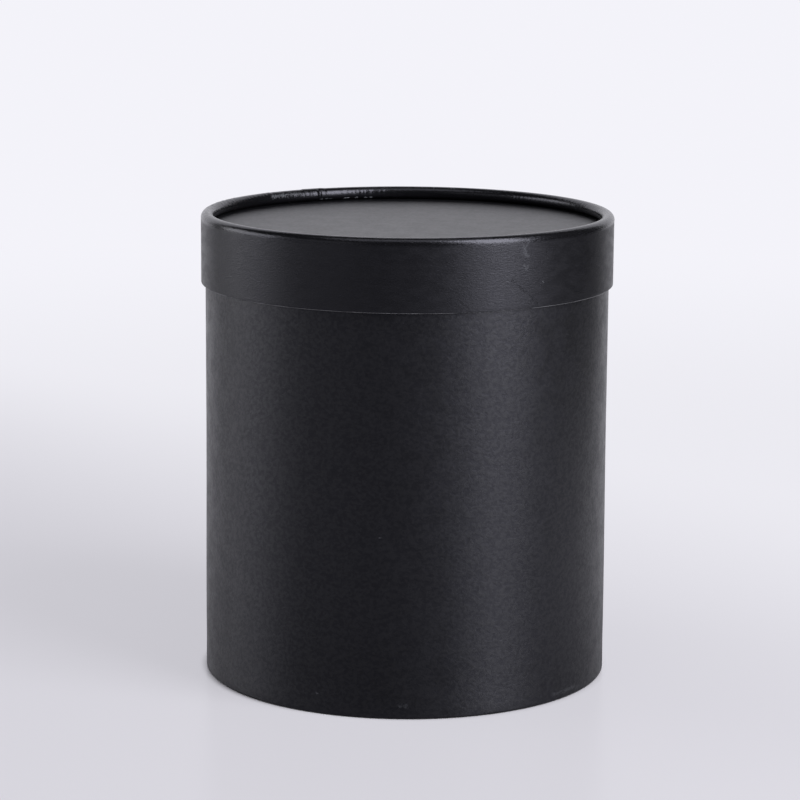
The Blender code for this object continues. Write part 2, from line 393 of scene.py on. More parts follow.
def finish_mesh(name, bm):
    """Make an object of a mesh, with its faces pointing out and its curves shaded smooth."""
    bmesh.ops.recalc_face_normals(bm, faces=bm.faces)
    mesh = bpy.data.meshes.new(name)
    bm.to_mesh(mesh)
    bm.free()
    mesh.shade_smooth()
    mesh.set_sharp_from_angle(angle=SMOOTH_ANGLE)
    obj = bpy.data.objects.new(name, mesh)
    scene.collection.objects.link(obj)
    print(name, "has", len(mesh.polygons), "faces")
    return obj


def ring(name, azimuths, outline_at):
    """A closed ring through the outlines at all azimuths."""
    bm = bmesh.new()
    loops = []
    for azimuth in azimuths:
        across, along = math.cos(azimuth), math.sin(azimuth)
        loops.append([bm.verts.new((r * across, r * along, z)) for r, z in outline_at(azimuth)])
    for here, ahead in zip(loops, loops[1:] + loops[:1]):
        for k in range(len(here)):
            bm.faces.new((here[k - 1], here[k], ahead[k], ahead[k - 1]))
    return finish_mesh(name, bm)


def arc(centre_radius, centre_height, radius, start, end, steps):
    """Outline points round part of a circle, with both ends."""
    turns = [start + (end - start) * k / steps for k in range(steps + 1)]
    return [(centre_radius + radius * math.cos(a), centre_height + radius * math.sin(a)) for a in turns]


def ramp(value, start, end):
    """A smooth climb from 0 at start to 1 at end, which may lie on either side."""
    share = min(max((value - start) / (end - start), 0), 1)
    return share * share * (3 - 2 * share)


def wander(azimuth, radius, height, size, seed):
    """Smooth noise from -1 to 1 on a wall; size is the width of its waves, and it has no seam."""
    place = Vector((radius * math.cos(azimuth), radius * math.sin(azimuth), height)) / size
    return noise.noise(place + Vector((seed, seed, seed)))


# %% [markdown]
# ## The lap of a covering paper
# A sheet glued round a tube has to overlap its own start. The overlap is a band about a centimetre wide, and
# its free edge is a step as high as the paper is thick once pressed, 0.15 mm. Extra outlines are set close
# to that edge so that the step stays crisp.

# %% Lap seam
LAP_WIDTH = 10 * MM
LAP_RAMP = 2.5 * MM
LAP_RISE = 0.15 * MM
LAP_EDGE = 0.2 * MM
BOX_SEAM = math.radians(90)
LID_SEAM = math.radians(123.75)
EDGE_SHARES = (-1, 0, 0.5, 1, 2)


def lap_rise(azimuth, seam, radius):
    """How far the paper stands out over its own start at an azimuth."""
    along = ((azimuth - seam + math.pi) % math.tau - math.pi) * radius
    if along >= 0:
        return LAP_RISE * max(1 - along / LAP_EDGE, 0)
    return LAP_RISE * ramp(along, -LAP_WIDTH - LAP_RAMP, -LAP_WIDTH)


def stations(count, seam=0.0, radius=None):
    """Even azimuths round a ring, with a few more on both sides of a lap's free edge."""
    even = [math.tau * k / count for k in range(count)]
    if radius is None:
        return even
    marks = [(seam + share * LAP_EDGE / radius) % math.tau for share in EDGE_SHARES]
    kept = [a for a in even if all(abs(a - mark) * radius > LAP_EDGE for mark in marks)]
    return sorted(kept + marks)


for side, away in (("before", -MM), ("after", MM)):
    print("lap 1 mm", side, "its free edge:", lap_rise(BOX_SEAM + away / BOX_RADIUS, BOX_SEAM, BOX_RADIUS))

# %% [markdown]
# ## The box's covering paper
# The paper runs down the wall, round the lower edge and in under the base, where its surplus lies in small
# pleats. The wall isn't perfectly round: wound board keeps shallow waves that show only in the way the light
# slides over it, so they are made in the mesh. Near the rim they fade, because the lid has to slide on. The
# wall also spreads by less than half a millimetre towards its foot, where the base was pressed in, and the
# paper's fold rounds its lower corner.

# %% Box covering
BOX_OUTLINES = 720
WALL_ROWS = 56
WALL_WAVE = 0.05 * MM
WALL_WAVE_SIZE = 32 * MM
WALL_WAVE_SQUEEZE = 0.35
WAVES_END = LID_BOTTOM + 6 * MM
WAVES_FULL = LID_BOTTOM - 10 * MM
RIM_ROUND_IN = 0.04 * MM
RIM_ROUND_DOWN = 0.1 * MM
CORNER_STEPS = 8
CORNER_BACK_STEPS = 3
TURN_IN = 14 * MM
TURN_IN_STEPS = 6
TURN_IN_CLIMB = 0.6
PLEATS = 46
PLEAT_DEPTH = 0.14 * MM
PLEAT_DRIFT = 0.35
PLEAT_DRIFT_SIZE = 0.4
PLEAT_WIDTH_SHARE = 0.3
PLEAT_EDGE_SHARE = 0.03
PLEAT_FULL_STEP = 2
FLARE = 0.4 * MM
FLARE_FULL = 25 * MM
FLARE_HEIGHT = 120 * MM


def swell(height):
    """How far the wall stands out over the pressed-in base."""
    share = min(height / SWELL_HEIGHT, 1)
    return BASE_SWELL * (1 + math.cos(math.pi * share)) / 2


def flare(height):
    """How far a wall of wound board has spread towards its foot."""
    return FLARE * ramp(height, FLARE_HEIGHT, FLARE_FULL) * ramp(height, -FLARE_FULL, FLARE_FULL)


def wall_wave(azimuth, height):
    """Shallow waves of the box's wall, none under the lid."""
    broad = wander(azimuth, BOX_RADIUS, height * WALL_WAVE_SQUEEZE, WALL_WAVE_SIZE, seed=11)
    return WALL_WAVE * broad * ramp(height, WAVES_END, WAVES_FULL)


def pleat(azimuth):
    """Folded surplus of the turned-in paper: a row of small wedges, uneven in width."""
    place = azimuth * PLEATS / math.tau + PLEAT_DRIFT * wander(azimuth, 1, 0, PLEAT_DRIFT_SIZE, seed=5)
    share = place % 1
    return PLEAT_DEPTH * max(1 - share / PLEAT_WIDTH_SHARE, 0) * ramp(share, 0, PLEAT_EDGE_SHARE)


def box_cover_outline(azimuth):
    """Outline of the box's covering paper at an azimuth."""
    rise = lap_rise(azimuth, BOX_SEAM, BOX_RADIUS)
    centre_radius = BOX_RADIUS + BASE_SWELL + flare(0) - BOX_CORNER
    centre_height = BOX_FOLD_LOW + BOX_CORNER
    first = RIM - RIM_ROUND_DOWN
    outside = [(BOX_RADIUS + rise - RIM_ROUND_IN, RIM), (BOX_RADIUS + rise, first)]
    for k in range(1, WALL_ROWS):
        height = first + (centre_height - RIM) * k / WALL_ROWS
        radius = BOX_RADIUS + swell(height) + flare(height) + rise
        outside.append((radius + wall_wave(azimuth, height), height))
    corner = arc(centre_radius, centre_height, BOX_CORNER, 0, -math.pi / 2, CORNER_STEPS)
    for k, (radius, height) in enumerate(corner):
        outside.append((radius + rise * (1 - k / CORNER_STEPS), height))
    fold = pleat(azimuth)
    end_radius = BOX_RADIUS - TURN_IN
    for k in range(1, TURN_IN_STEPS + 1):
        radius = centre_radius + (end_radius - centre_radius) * k / TURN_IN_STEPS
        level = BOX_FOLD_LOW + (BOX_BOTTOM - BOX_FOLD_LOW) * min(TURN_IN_CLIMB * k, 1)
        outside.append((radius, level - fold * ramp(k, 0, PLEAT_FULL_STEP)))
    inside = [(end_radius, BOX_BOTTOM + PAPER)]
    inside += arc(centre_radius, centre_height, BOX_CORNER - PAPER, -math.pi / 2, 0, CORNER_BACK_STEPS)
    for height in (SWELL_HEIGHT / 2, SWELL_HEIGHT, FLARE_FULL, FLARE_HEIGHT / 2, FLARE_HEIGHT, RIM):
        inside.append((BOX_RADIUS - PAPER + swell(height) + flare(height), height))
    return outside + inside


box_covering = ring("box_covering", stations(BOX_OUTLINES, BOX_SEAM, BOX_RADIUS), box_cover_outline)
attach(box_covering, "box")
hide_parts("body_wrap")

# %% [markdown]
# ## The lid's covering paper
# The paper is glued to the tube before the end is rolled, so one sheet covers the skirt and the bead. Rolling
# inwards leaves the sheet less and less room: the circle shrinks by a sixteenth, and the surplus gathers in
# fine creases across the inner side of the bead. In three places they grow into patches of crinkles, and at
# one spot into a short fold. At one side the bead stands a little proud. Nothing is pressed in deeper than
# the paper is thick. Below, the paper is folded round the edge of the board and trimmed flush with its inner
# face, so the edge is softly rounded and catches the light of the table.

# %% Lid covering
LID_OUTLINES = 1440
SKIRT_ROWS = 26
BEAD_STEPS = 44
EDGE_ROUND = 0.34 * MM
EDGE_STEPS = 8
CREASE_DEPTH = 0.11 * MM
CREASE_SIZE = 1.9 * MM
CREASE_SQUEEZE = 0.5
CREASE_DRIFT = 0.4 * MM
CREASE_DRIFT_SIZE = 2 * MM
CREASE_PATCH_SIZE = 14 * MM
CREASE_MEAN = 0.55
CREASE_SPREAD = 0.45
CREASE_START = math.radians(70)
CREASE_FULL = math.radians(150)
# Each patch has its azimuth, its reach to both sides, its depth and the size of its crinkles.
CRINKLES = [
    (math.radians(191), math.radians(13), 0.10 * MM, 1.3 * MM),
    (math.radians(137), math.radians(8), 0.15 * MM, 0.9 * MM),
    (math.radians(160), math.radians(24), 0.17 * MM, 0.7 * MM),
]
CRINKLE_START = -0.3
CRINKLE_FULL = 0.5
DEEPEST = 0.2 * MM
FOLD_AZIMUTH = math.radians(118.5)
FOLD_REACH = math.radians(0.9)
FOLD_DEPTH = 0.3 * MM
FOLD_START = math.radians(80)
FOLD_FULL = math.radians(130)
SKIRT_WAVE = 0.04 * MM
SKIRT_WAVE_SIZE = 24 * MM
SKIRT_WAVE_SQUEEZE = 0.6
SKIRT_WAVES_FULL = BEAD_CENTRE_HEIGHT - 3 * MM
BEAD_BACK_STEPS = 18
EDGE_BACK_STEPS = 4
LAP_UNDER_START = math.pi
LAP_UNDER_END = 1.5 * math.pi
PROUD = 0.12 * MM
PROUD_AZIMUTH = math.radians(-8)
PROUD_REACH = math.radians(40)


def near(azimuth, centre, reach):
    """1 at an azimuth, falling smoothly to 0 at a reach on both sides."""
    away = abs((azimuth - centre + math.pi) % math.tau - math.pi)
    return 1 - ramp(away, 0, reach)


def crease(azimuth, bead_turn):
    """Depth of the fine creases across the bead, none on its outer half and deepest where it turns under."""
    drift = CREASE_DRIFT * wander(azimuth, LID_RADIUS, bead_turn * MM, CREASE_DRIFT_SIZE, seed=3)
    place = azimuth + drift / LID_RADIUS
    sharp = 1 - 2 * abs(wander(place, LID_RADIUS, bead_turn * CREASE_SQUEEZE * MM, CREASE_SIZE, seed=21))
    patchy = CREASE_MEAN + CREASE_SPREAD * wander(azimuth, LID_RADIUS, 0, CREASE_PATCH_SIZE, seed=8)
    return CREASE_DEPTH * max(sharp, 0) ** 2 * patchy * ramp(bead_turn, CREASE_START, CREASE_FULL)


def skirt_wave(azimuth, height):
    """Shallow waves of the lid's skirt."""
    broad = wander(azimuth, LID_RADIUS, height * SKIRT_WAVE_SQUEEZE, SKIRT_WAVE_SIZE, seed=31)
    return SKIRT_WAVE * ramp(height, LID_TOP, SKIRT_WAVES_FULL) * broad


def lid_cover_outline(azimuth):
    """Outline of the lid's covering paper at an azimuth."""
    rise = lap_rise(azimuth, LID_SEAM, LID_RADIUS)
    fold_centre = (LID_RADIUS - EDGE_ROUND, LID_BOTTOM + EDGE_ROUND)
    outside = [(RING_INNER, LID_BOTTOM)]
    for k, (radius, height) in enumerate(arc(*fold_centre, EDGE_ROUND, -math.pi / 2, 0, EDGE_STEPS)):
        outside.append((radius + rise * k / EDGE_STEPS, height))
    first = LID_BOTTOM + EDGE_ROUND
    for k in range(1, SKIRT_ROWS):
        height = first + (BEAD_CENTRE_HEIGHT - first) * k / SKIRT_ROWS
        outside.append((LID_RADIUS + rise + skirt_wave(azimuth, height), height))
    crinkles = [(depth * near(azimuth, centre, reach), size) for centre, reach, depth, size in CRINKLES]
    folded = FOLD_DEPTH * near(azimuth, FOLD_AZIMUTH, FOLD_REACH)
    proud = PROUD * near(azimuth, PROUD_AZIMUTH, PROUD_REACH)
    for k in range(BEAD_STEPS + 1):
        bead_turn = ROLL_TURN * k / BEAD_STEPS
        lift = rise * (1 - ramp(bead_turn, LAP_UNDER_START, LAP_UNDER_END)) - crease(azimuth, bead_turn)
        lift += proud * max(math.cos(bead_turn), 0)
        lift -= folded * ramp(bead_turn, FOLD_START, FOLD_FULL)
        for depth, size in crinkles:
            if depth > 0:
                rough = wander(azimuth, LID_RADIUS, bead_turn * BEAD_RADIUS * CREASE_SQUEEZE, size, seed=47)
                lift += depth * rough * ramp(bead_turn, CRINKLE_START, CRINKLE_FULL)
        radius = BEAD_RADIUS + max(lift, -DEEPEST)
        outside.append((BEAD_CENTRE_RADIUS + radius * math.cos(bead_turn),
                        BEAD_CENTRE_HEIGHT + radius * math.sin(bead_turn)))
    inside = arc(BEAD_CENTRE_RADIUS, BEAD_CENTRE_HEIGHT, BEAD_RADIUS - PAPER, ROLL_TURN, 0, BEAD_BACK_STEPS)
    inside += arc(*fold_centre, EDGE_ROUND - PAPER, 0, -math.pi / 2, EDGE_BACK_STEPS)
    return outside + inside + [(RING_INNER, LID_BOTTOM + PAPER)]


lid_covering = ring("lid_covering", stations(LID_OUTLINES, LID_SEAM, LID_RADIUS), lid_cover_outline)
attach(lid_covering, "lid")
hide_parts("lid_wrap")

# %% [markdown]
# ## Round sheets
# The top of the lid, the sheets under it and inside the box are flat discs of paper. A real sheet is never
# quite flat, and at the low angle from which the lid is seen that shows, so a disc is made as a fine web of
# rings and given waves a few hundredths of a millimetre high.

# %% Round sheets
DISC_RINGS = 26
DISC_SEGMENTS = 256
TURN_UP_WIDTH = 2.4 * MM
TURN_UP_FULL = TURN_UP_WIDTH / 4
TURN_UP_SHARES = (0.75, 0.5, 0.25, 0)
SHEET_WAVE = 0.05 * MM
SHEET_WAVE_SIZE = 45 * MM
FLOOR_WAVE_SIZE = 40 * MM
BASE_WAVE = 0.04 * MM
BASE_WAVE_SIZE = 50 * MM
BASE_GAP = 0.16 * MM


def round_sheet(name, radius, low, high, wave, wave_size, seed, face_up=True, turn_up=0.0):
    """A disc between two heights, with a slightly wavy face and perhaps a turned-up edge."""
    bm = bmesh.new()
    faces = {}
    for side, height in (("top", high), ("bottom", low)):
        seen_side = face_up == (side == "top")
        centre = bm.verts.new((0, 0, height))
        loops = []
        reaches = [radius * k / DISC_RINGS for k in range(1, DISC_RINGS)]
        reaches += [radius - TURN_UP_WIDTH * share for share in TURN_UP_SHARES]
        for reach in reaches:
            edge_lift = turn_up * ramp(reach, radius - TURN_UP_WIDTH, radius - TURN_UP_FULL)
            loop = []
            for azimuth in stations(DISC_SEGMENTS):
                level = height + edge_lift
                if seen_side:
                    dip = 0.5 + 0.5 * wander(azimuth, reach, 0, wave_size, seed)
                    level += -wave * dip if face_up else wave * dip
                loop.append(bm.verts.new((reach * math.cos(azimuth), reach * math.sin(azimuth), level)))
            loops.append(loop)
        faces[side] = loops
        for j in range(DISC_SEGMENTS):
            bm.faces.new((centre, loops[0][j - 1], loops[0][j]))
        for inner, outer in zip(loops, loops[1:]):
            for j in range(DISC_SEGMENTS):
                bm.faces.new((inner[j - 1], outer[j - 1], outer[j], inner[j]))
    upper, lower = faces["top"][-1], faces["bottom"][-1]
    for j in range(DISC_SEGMENTS):
        bm.faces.new((upper[j - 1], lower[j - 1], lower[j], upper[j]))
    return finish_mesh(name, bm)


under_bead = BEAD_CENTRE_HEIGHT - BEAD_RADIUS - top_high.z
lid_top_sheet = round_sheet("lid_top_sheet", top_high.x, top_low.z, top_high.z, SHEET_WAVE, SHEET_WAVE_SIZE,
                            seed=61, turn_up=under_bead)
print("lid's top sheet reaches", top_high.x / MM, "mm and turns up by", under_bead / MM, "mm")
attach(lid_top_sheet, "lid")
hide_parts("lid_top_paper")

lid_under_sheet = round_sheet("lid_under_sheet", under_high.x, under_low.z, under_high.z, SHEET_WAVE,
                              SHEET_WAVE_SIZE, seed=62, face_up=False)
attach(lid_under_sheet, "lid")
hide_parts("lid_disc_lining")

floor_sheet = round_sheet("floor_sheet", floor_high.x, floor_low.z, floor_high.z, SHEET_WAVE, FLOOR_WAVE_SIZE,
                          seed=63)
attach(floor_sheet, "box")
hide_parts("floor_paper")

base_sheet = round_sheet("base_sheet", base_high.x, base_low.z, BOX_BOTTOM - BASE_GAP, BASE_WAVE,
                         BASE_WAVE_SIZE, seed=64, face_up=False)
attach(base_sheet, "box")
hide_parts("base_paper")

# %% [markdown]
# ## Board and lining
# The board shows only at its cut edges and inside the lid's skirt. The frame leaves a thin gap where the glue
# lies; the dressed rings close it, so that paper and board meet as they do on the real box.

# %% Board rings and lining
BOARD_OUTLINES = 360
CONTACT = 0.01 * MM
RIM_BEVEL = 0.05 * MM
RIM_BEVEL_DOWN = 0.15 * MM
RIM_DIP = 0.02 * MM
FRAY = 0.03 * MM
FRAY_SIZE = 1.2 * MM
BOARD_CORNER_STEPS = 4
ROLL_OUTER_STEPS = 24
ROLL_INNER_STEPS = 16
LINING_ROWS = 24
LINING_WAVE = 0.04 * MM
LINING_WAVE_SIZE = 25 * MM
LINING_WAVE_SQUEEZE = 0.5
lining_low, lining_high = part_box("body_lining")
LINING_INNER = lining_high.x - PAPER - swell(lining_low.z)


def box_board_outline(azimuth):
    """The box's wall of board, from the back of the covering paper to the back of the lining."""
    fray = FRAY * wander(azimuth, BOX_RADIUS, 0, FRAY_SIZE, seed=71)
    outer = BOX_RADIUS - PAPER - CONTACT
    inner = LINING_INNER + PAPER + CONTACT
    centre_height = BOX_FOLD_LOW + BOX_CORNER
    corner_radius = BOX_CORNER - PAPER - CONTACT
    outside = [(outer - RIM_BEVEL, RIM - RIM_BEVEL + fray), (outer, RIM - RIM_BEVEL_DOWN)]
    for height in (FLARE_HEIGHT, FLARE_HEIGHT / 2, FLARE_FULL, SWELL_HEIGHT, SWELL_HEIGHT / 2):
        outside.append((outer + swell(height) + flare(height), height))
    centre_radius = outer + BASE_SWELL + flare(0) - corner_radius
    outside += arc(centre_radius, centre_height, corner_radius, 0, -math.pi / 2, BOARD_CORNER_STEPS)
    inside = [(inner + BASE_SWELL, tube_low.z), (inner + swell(SWELL_HEIGHT / 2), SWELL_HEIGHT / 2)]
    inside += [(inner, SWELL_HEIGHT), (inner, RIM - RIM_BEVEL_DOWN)]
    inside += [(inner + RIM_BEVEL, RIM - RIM_BEVEL + fray)]
    middle = (inner + outer) / 2
    return outside + inside + [(middle, RIM - RIM_DIP - fray)]


box_board = ring("box_board", stations(BOARD_OUTLINES), box_board_outline)
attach(box_board, "box")
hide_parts("body_tube")


def box_lining_outline(azimuth):
    """The paper lining inside the wall, slightly wavy."""
    outside = [(LINING_INNER + PAPER + swell(floor_low.z), floor_low.z), (LINING_INNER + PAPER, SWELL_HEIGHT)]
    outside += [(LINING_INNER + PAPER, RIM)]
    inside = []
    for k in range(LINING_ROWS + 1):
        height = RIM + (floor_low.z - RIM) * k / LINING_ROWS
        wave = wander(azimuth, LINING_INNER, height * LINING_WAVE_SQUEEZE, LINING_WAVE_SIZE, seed=81)
        inside.append((LINING_INNER + swell(height) + LINING_WAVE * wave, height))
    return outside + inside


box_lining = ring("box_lining", stations(BOARD_OUTLINES), box_lining_outline)
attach(box_lining, "box")
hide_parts("body_lining")


def lid_board_outline(azimuth):
    """The lid's board: a skirt inside the fold of the paper, rolled inwards at the top."""
    fold = EDGE_ROUND - PAPER - CONTACT
    bead_centre = (BEAD_CENTRE_RADIUS, BEAD_CENTRE_HEIGHT)
    outside = arc(LID_RADIUS - EDGE_ROUND, LID_BOTTOM + EDGE_ROUND, fold, -math.pi / 2, 0, BOARD_CORNER_STEPS)
    outside += arc(*bead_centre, BEAD_RADIUS - PAPER - CONTACT, 0, ROLL_TURN, ROLL_OUTER_STEPS)
    inside = arc(*bead_centre, RING_INNER - BEAD_CENTRE_RADIUS, ROLL_TURN, 0, ROLL_INNER_STEPS)
    return outside + inside + [(RING_INNER, LID_BOTTOM + PAPER + CONTACT)]


lid_board = ring("lid_board", stations(BOARD_OUTLINES), lid_board_outline)
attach(lid_board, "lid")
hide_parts("lid_ring")

# %% [markdown]
# ## The grain of paper
# Four effects are node groups, so that each paper can use them with values of its own. The first gives the
# surface its height: a fine tooth from the fibres, and a softer felt-like mottle that can be stretched
# sideways. On black paper such a grain shows by its light and hardly by its colour.

# %% Paper grain group
CLOUD_SHARE = 0.2
MOTTLE_RANGE = (0.3, 0.7)
CLOUD_RANGE = (0.35, 0.65)

tree, given, result = new_group("paper grain", {
    "Tooth Size": 0.35 * MM, "Tooth Height": 0.006 * MM, "Mottle Size": 1.6 * MM, "Mottle Height": 0.012 * MM,
    "Stretch": 1.0}, ["Height", "Mottle", "Cloud"])
place = object_place(tree)
squeeze = add_node(tree, "ShaderNodeCombineXYZ", {"X": 1.0, "Y": 1.0, "Z": given["Stretch"]}).outputs[0]
stretched = vectors(tree, "MULTIPLY", place, squeeze)[0]
tooth_scale = maths(tree, "DIVIDE", 1.0, given["Tooth Size"])
mottle_scale = maths(tree, "DIVIDE", 1.0, given["Mottle Size"])
cloud_scale = maths(tree, "MULTIPLY", mottle_scale, CLOUD_SHARE)
tooth = noise_at(tree, place, tooth_scale, detail=2.0, roughness=0.6)
mottle = noise_at(tree, stretched, mottle_scale, detail=3.0, roughness=0.62, distortion=0.4)
cloud = noise_at(tree, stretched, cloud_scale, detail=4.0, roughness=0.55)
tooth_height = maths(tree, "MULTIPLY", tooth, given["Tooth Height"])
tree.links.new(maths(tree, "MULTIPLY_ADD", mottle, given["Mottle Height"], tooth_height), result["Height"])
tree.links.new(ease(tree, mottle, *MOTTLE_RANGE), result["Mottle"])
tree.links.new(ease(tree, cloud, *CLOUD_RANGE), result["Cloud"])
paper_grain = tree
print(paper_grain.name, "gives", [item.name for item in paper_grain.interface.items_tree])

# %% [markdown]
# ## Dust
# Black paper shows every speck of dust. Each cell of a Voronoi pattern holds one speck at the most, so they
# lie scattered without a list of places.

# %% Dust group
SMALLEST_SPECK = 0.4
SPECK_EDGE = 0.6

tree, given, result = new_group("dust specks", {"Cell Size": 18 * MM, "Speck Size": 0.22 * MM, "Share": 0.35},
                                ["Specks"])
place = object_place(tree)
cell_scale = maths(tree, "DIVIDE", 1.0, given["Cell Size"])
cells = add_node(tree, "ShaderNodeTexVoronoi", {"Vector": place, "Scale": cell_scale, "Randomness": 1.0},
                 feature="F1").outputs
reach = maths(tree, "DIVIDE", given["Speck Size"], given["Cell Size"])
pick = add_node(tree, "ShaderNodeSeparateColor", {"Color": cells["Color"]}).outputs
size = maths(tree, "MULTIPLY", reach, maths(tree, "ADD", pick["Green"], SMALLEST_SPECK))
speck = ease(tree, cells["Distance"], size, maths(tree, "MULTIPLY", size, SPECK_EDGE))
chosen = maths(tree, "LESS_THAN", pick["Red"], given["Share"])
tree.links.new(maths(tree, "MULTIPLY", speck, chosen), result["Specks"])
dust_specks = tree
print(dust_specks.name, "ready")

# %% [markdown]
# ## Pale edges, worn and lit
# A fold is painted pale along its very edge: partly wear from handling, partly a painted highlight of the
# bright table mirrored in the rounded fold. This mask covers a reach on both sides of a given height, and
# noise makes the reach uneven, so that the pale line breaks up as a real one does.

# %% Edge wear and highlight group
REACH_RANGE = (0.55, 1.25)
PALE_EDGE_INNER = 0.7
PATCH_RANGE = (0.3, 0.7)

tree, given, result = new_group("edge wear and highlight", {"Edge Height": 0.0, "Reach": 0.5 * MM, "Patch Size": 9 * MM},
                                ["Wear"])
place = object_place(tree)
height = parts_of(tree, place)["Z"]
away = maths(tree, "ABSOLUTE", maths(tree, "SUBTRACT", height, given["Edge Height"]))
patch_scale = maths(tree, "DIVIDE", 1.0, given["Patch Size"])
patches = noise_at(tree, place, patch_scale, detail=5.0, roughness=0.7)
local_reach = ease(tree, patches, *PATCH_RANGE, *REACH_RANGE)
local_reach = maths(tree, "MULTIPLY", given["Reach"], local_reach)
wear_and_highlight = ease(tree, maths(tree, "DIVIDE", away, local_reach), 1.0, PALE_EDGE_INNER)
tree.links.new(wear_and_highlight, result["Wear"])
edge_wear_and_highlight = tree
print(edge_wear_and_highlight.name, "ready")

# %% [markdown]
# ## Marks
# A scuff, a dent, a painted glint or a pale dot is a ragged mask along a short line between two points. The
# group measures how far a place lies from that line, and noise frays the border.

# %% Mark group
WIDTH_RANGE = (0.05, 1.2)
MARK_EDGE = 0.4
FRAY_RANGE = (0.4, 0.62)

tree, given, result = new_group("mark", {"From": (0, 0, 0), "To": (0, 0, 0), "Width": 1 * MM,
                                         "Grain Size": 0.6 * MM}, ["Mark"])
place = object_place(tree)
line = vectors(tree, "SUBTRACT", given["To"], given["From"])[0]
reach = vectors(tree, "SUBTRACT", place, given["From"])[0]
share = maths(tree, "DIVIDE", vectors(tree, "DOT_PRODUCT", reach, line)["Value"],
              vectors(tree, "DOT_PRODUCT", line, line)["Value"], clamp=True)
along = add_node(tree, "ShaderNodeVectorMath", {"Vector": line, "Scale": share}, operation="SCALE").outputs[0]
away = vectors(tree, "DISTANCE", reach, along)["Value"]
grain_scale = maths(tree, "DIVIDE", 1.0, given["Grain Size"])
ragged = noise_at(tree, place, grain_scale, detail=3.0, roughness=0.7)
local_width = ease(tree, ragged, *FRAY_RANGE, *WIDTH_RANGE)
local_width = maths(tree, "MULTIPLY", given["Width"], local_width)
inner_width = maths(tree, "MULTIPLY", local_width, MARK_EDGE)
tree.links.new(ease(tree, away, local_width, inner_width), result["Mark"])
mark_group = tree
print(mark_group.name, "ready")

# %% [markdown]
# ## Marks of handling, and painted glints
# A box that has been handled carries small marks: scuffs on the skirt, the wall and the top, two dents in the
# skirt, and short pale marks across the bead. The same masks paint a patch of glints over crinkles at the
# back left of the bead, which is painted highlight, a row of small pale dots in the groove under the bead,
# and the stretches where the lid's pale lower edge is left dark. Each needs two points on a round surface. A
# point is given by how far it is turned from the front, in degrees, and how high or deep it lies, in
# millimetres, and a short function for each surface works it out.

# %% Marks
GROOVE_DOT_START = 228
GROOVE_DOT_END = 230
GROOVE_DOT_ACROSS = 0.3
GROOVE_DOT_WIDTH = 0.75


def on_wall(radius, turned, height):
    """A point on a round wall; it is turned so many degrees from the front towards the right."""
    angle = math.radians(turned - 90)
    return (radius * math.cos(angle), radius * math.sin(angle), height)


def on_bead(turned, bead_turn):
    """A point on the bead, turned so many degrees from the front, and so many round the bead from outside."""
    angle = math.radians(bead_turn)
    across, up = BEAD_RADIUS * math.cos(angle), BEAD_RADIUS * math.sin(angle)
    return on_wall(BEAD_CENTRE_RADIUS + across, turned, BEAD_CENTRE_HEIGHT + up)


def on_skirt(turned, depth):
    """A point on the lid's skirt, so many mm below the top."""
    return on_wall(LID_RADIUS, turned, LID_TOP - depth * MM)


def on_box(turned, height):
    """A point on the box's wall, so many mm up."""
    height *= MM
    return on_wall(BOX_RADIUS + swell(height) + flare(height), turned, height)


def on_top(across, back):
    """A point on the lid's top sheet, in mm to the right and to the back."""
    return (across * MM, back * MM, top_high.z)


def mark(surface, start, end, width, strength):
    """A mark between two points of a surface; its width is in mm."""
    return (surface(*start), surface(*end), width * MM, strength)


lid_scuffs_and_glints = [
    mark(on_skirt, (31.6, 3.2), (32.6, 5.6), 0.8, 0.05),
    mark(on_skirt, (34.0, 2.6), (32.4, 6.2), 0.7, 0.05),
    mark(on_skirt, (32.3, 5.6), (33.2, 8.6), 1.3, 0.06),
    mark(on_skirt, (31.9, 7.2), (33.9, 9.0), 0.9, 0.05),
    mark(on_skirt, (32.3, 12.5), (33.1, 14.6), 0.8, 0.06),
    mark(on_skirt, (33.6, 13.0), (33.0, 15.0), 0.8, 0.05),
    mark(on_skirt, (38.6, 20.3), (38.8, 20.5), 0.5, 0.12),
    mark(on_bead, (165.0, 95), (165.6, 125), 0.6, 0.16),
    mark(on_bead, (166.4, 120), (166.0, 95), 0.6, 0.14),
    mark(on_bead, (171.6, 95), (171.9, 120), 0.6, 0.08),
    # Painted highlight: a pale patch of glints laid over the crinkles here, where lamp light catches them.
    mark(on_bead, (-133.5, 155), (-139.0, 155), 1.4, 0.18),
    mark(on_bead, (-139.5, 152), (-144.5, 152), 1.3, 0.13),
]
# A row of small pale dots in the groove under the bead.
for turned, strength in ((-152.3, 0.5), (-154.2, 0.5), (-155.6, 0.3), (-160.2, 0.7), (-161.2, 1.0),
                         (-164.0, 1.0), (-166.9, 0.8), (-168.6, 0.8)):
    ends = ((turned, GROOVE_DOT_START), (turned + GROOVE_DOT_ACROSS, GROOVE_DOT_END))
    lid_scuffs_and_glints.append(mark(on_bead, *ends, GROOVE_DOT_WIDTH, strength))
lid_dents = [
    mark(on_skirt, (28.6, 18.7), (37.1, 29.0), 0.7, 1.0),
    mark(on_skirt, (39.9, 8.0), (40.0, 10.6), 0.8, 1.0),
]
